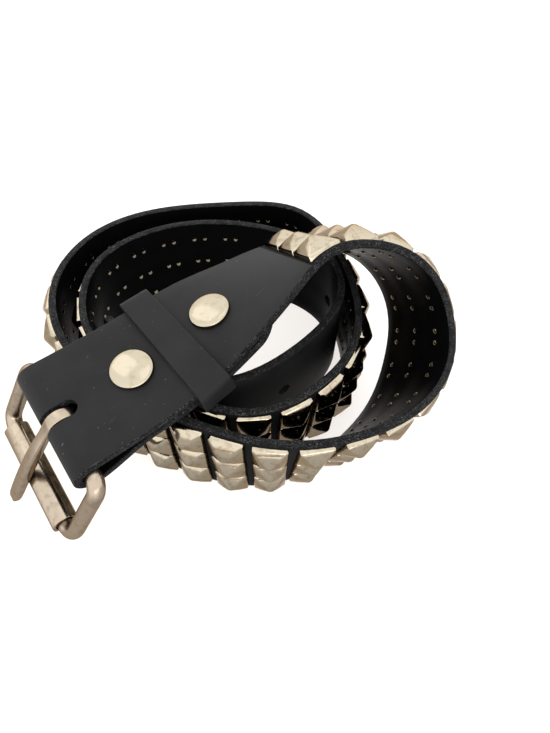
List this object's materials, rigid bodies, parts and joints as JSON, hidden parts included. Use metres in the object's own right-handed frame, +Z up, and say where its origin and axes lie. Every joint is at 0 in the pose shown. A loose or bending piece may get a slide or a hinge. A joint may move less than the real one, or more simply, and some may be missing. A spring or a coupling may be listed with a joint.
{
  "type": "studded belt",
  "caption": "Rolled leather belt with rows of pyramid studs, snap-held roller buckle, keeper loop and a plain punched tail, standing on its edge.",
  "frame": {"origin": "on the ground under the middle of the coil's box", "axes": "+Z up off the ground, +X along the coil's long way to its free loop, -Y towards the side that the buckle lies on"},
  "size_m": [0.1572, 0.142, 0.0755],
  "materials": {
    "black_leather": "semi-matte",
    "nickel_studs": "polished",
    "nickel_fittings": "polished"
  },
  "bodies": {
    "belt": {"strap": "black_leather", "keeper": "black_leather", "stud_column_01": "nickel_studs", "stud_column_02": "nickel_studs", "stud_column_03": "nickel_studs", "stud_column_04": "nickel_studs", "stud_column_05": "nickel_studs", "stud_column_06": "nickel_studs", "stud_column_07": "nickel_studs", "stud_column_08": "nickel_studs", "stud_column_09": "nickel_studs", "stud_column_10": "nickel_studs", "stud_column_11": "nickel_studs", "stud_column_12": "nickel_studs", "stud_column_13": "nickel_studs", "stud_column_14": "nickel_studs", "stud_column_15": "nickel_studs", "stud_column_16": "nickel_studs", "stud_column_17": "nickel_studs", "stud_column_18": "nickel_studs", "stud_column_19": "nickel_studs", "stud_column_20": "nickel_studs", "stud_column_21": "nickel_studs", "stud_column_22": "nickel_studs", "stud_column_23": "nickel_studs", "stud_column_24": "nickel_studs", "stud_column_25": "nickel_studs", "stud_column_26": "nickel_studs", "stud_column_27": "nickel_studs", "stud_column_28": "nickel_studs", "stud_column_29": "nickel_studs", "stud_column_30": "nickel_studs", "stud_column_31": "nickel_studs", "stud_column_32": "nickel_studs", "stud_column_33": "nickel_studs", "stud_column_34": "nickel_studs", "stud_column_35": "nickel_studs", "stud_column_36": "nickel_studs", "stud_column_37": "nickel_studs", "stud_column_38": "nickel_studs", "stud_column_39": "nickel_studs", "stud_column_40": "nickel_studs", "stud_column_41": "nickel_studs", "stud_column_42": "nickel_studs", "stud_column_43": "nickel_studs", "stud_column_44": "nickel_studs", "stud_column_45": "nickel_studs", "stud_column_46": "nickel_studs", "stud_column_47": "nickel_studs", "stud_column_48": "nickel_studs", "stud_column_49": "nickel_studs", "stud_column_50": "nickel_studs", "snap_cap_1": "nickel_fittings", "snap_back_1": "nickel_fittings", "snap_cap_2": "nickel_fittings", "snap_back_2": "nickel_fittings"},
    "frame": {"buckle_frame": "nickel_fittings"},
    "tongue": {"tongue": "nickel_fittings"},
    "roller": {"roller": "nickel_fittings"}
  },
  "joints": [
    {"name": "frame_swing", "type": "hinge", "parent": "belt", "child": "frame", "pos_m": [-0.04954, -0.04136, 0.0457], "axis": [-0.5916, 0.8045, 0.0523], "range_deg": [-12, 50]},
    {"name": "tongue_swing", "type": "hinge", "parent": "frame", "child": "tongue", "pos_m": [-0.04954, -0.04136, 0.0457], "axis": [-0.5916, 0.8045, 0.0523], "range_deg": [0, 90]},
    {"name": "roller_spin", "type": "hinge", "parent": "frame", "child": "roller", "pos_m": [-0.06284, -0.04976, 0.02436], "axis": [-0.5916, 0.8045, 0.0523], "continuous": true}
  ]
}
